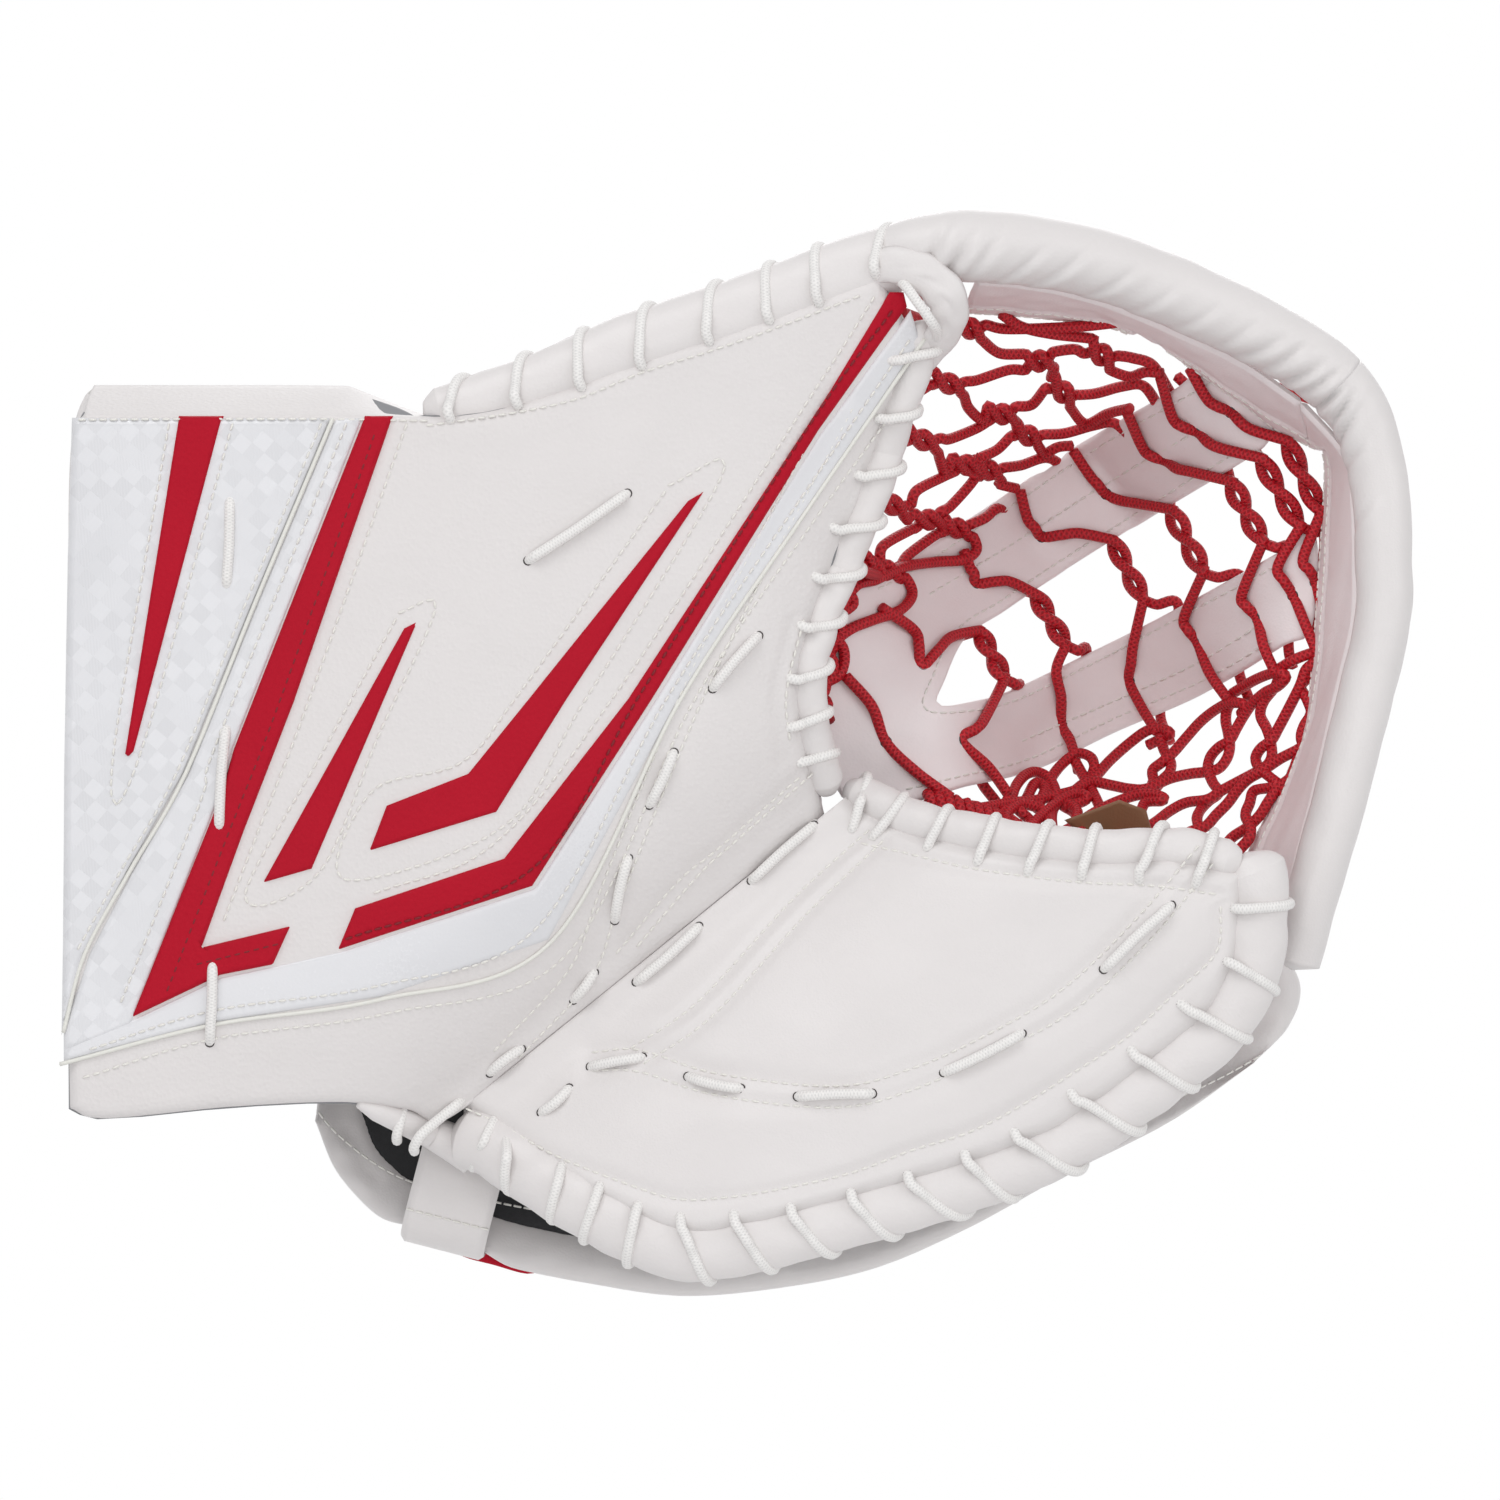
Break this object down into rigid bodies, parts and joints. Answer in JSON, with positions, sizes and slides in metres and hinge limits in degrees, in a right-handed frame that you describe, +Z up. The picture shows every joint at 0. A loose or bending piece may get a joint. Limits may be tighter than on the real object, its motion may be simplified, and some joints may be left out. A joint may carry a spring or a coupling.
{
  "type": "goalie catch glove",
  "caption": "Ice hockey goaltender's catch glove: laced leather thumb and finger boards that close about a diagonal fold, with a corded pocket on two T straps and a padded rim tube.",
  "frame": {"origin": "middle of the wrist opening, at the open end of the cuff", "axes": "+X from the wrist to the rim, +Z up to the thumb edge, -Y out of the catching side; upright as it is held for a catch"},
  "size_m": [0.3817, 0.1339, 0.3139],
  "materials": {
    "white_leather": "grained, low sheen",
    "gloss_overlay": "smooth, glossy, faint checks",
    "red_leather": "grained, low sheen",
    "lace": "braided",
    "red_cord": "braided",
    "foam": "closed cell",
    "black_lining": "brushed",
    "webbing": "woven",
    "stiffener": "sheet",
    "rod": "extruded"
  },
  "bodies": {
    "thumb_side": {"thumb_face_cover": "white_leather", "thumb_foam": "foam", "thumb_stiffener": "stiffener", "thumb_lining": "black_lining", "cuff_overlay": "gloss_overlay", "red_inlays": "red_leather", "thumb_edge_roll": "white_leather", "thumb_edge_lacing": "lace", "thumb_mouth_roll": "white_leather", "thumb_mouth_lacing": "lace", "thumb_face_laces": "lace", "thumb_tip_cap": "white_leather", "top_tube_cover": "white_leather", "top_tube_core": "rod", "top_skirt": "white_leather", "net_top": "red_cord", "palm_fold": "white_leather", "thumb_stall": "black_lining", "thumb_guard": "white_leather", "wrist_band": "webbing"},
    "wrist_strap": {"wrist_strap": "white_leather"},
    "web": {"upper_t_strap": "white_leather", "lower_t_strap": "white_leather", "pocket_base": "white_leather", "net_middle": "red_cord", "rim_corner": "white_leather", "corner_skirt": "white_leather"},
    "finger_side": {"finger_face_cover": "white_leather", "finger_foam": "foam", "finger_stiffener": "stiffener", "finger_lining": "black_lining", "finger_edge_roll": "white_leather", "finger_edge_lacing": "lace", "finger_mouth_roll": "white_leather", "finger_mouth_lacing": "lace", "finger_face_laces": "lace", "side_tube_cover": "white_leather", "side_tube_core": "rod", "side_skirt": "white_leather", "net_side": "red_cord", "finger_dividers": "black_lining", "hand_gusset": "black_lining", "back_pad_cover": "white_leather", "back_pad_foam": "foam", "back_pad_piping": "red_leather", "strap_loop": "white_leather", "hand_strap": "webbing"},
    "strap_tail": {"strap_tail": "webbing", "pull_tab": "red_leather"}
  },
  "joints": [
    {"name": "web_fold", "type": "hinge", "parent": "thumb_side", "child": "web", "pos_m": [0.107, -0.024, -0.101], "axis": [-0.7773, 0, -0.6291], "range_deg": [0, 40]},
    {"name": "finger_fold", "type": "hinge", "parent": "web", "child": "finger_side", "pos_m": [0.107, -0.024, -0.101], "axis": [-0.7773, 0, -0.6291], "range_deg": [0, 40]},
    {"name": "wrist_strap_peel", "type": "hinge", "parent": "thumb_side", "child": "wrist_strap", "pos_m": [0.039, -0.02, 0.092], "axis": [1, 0, 0], "range_deg": [0, 75]},
    {"name": "tail_peel", "type": "hinge", "parent": "finger_side", "child": "strap_tail", "pos_m": [0.0995, 0.0362, -0.1325], "axis": [-0.9501, 0, 0.312], "range_deg": [0, 60]}
  ],
  "couplings": [
    {"joint": "finger_fold", "follows": "web_fold", "ratio": 1}
  ]
}
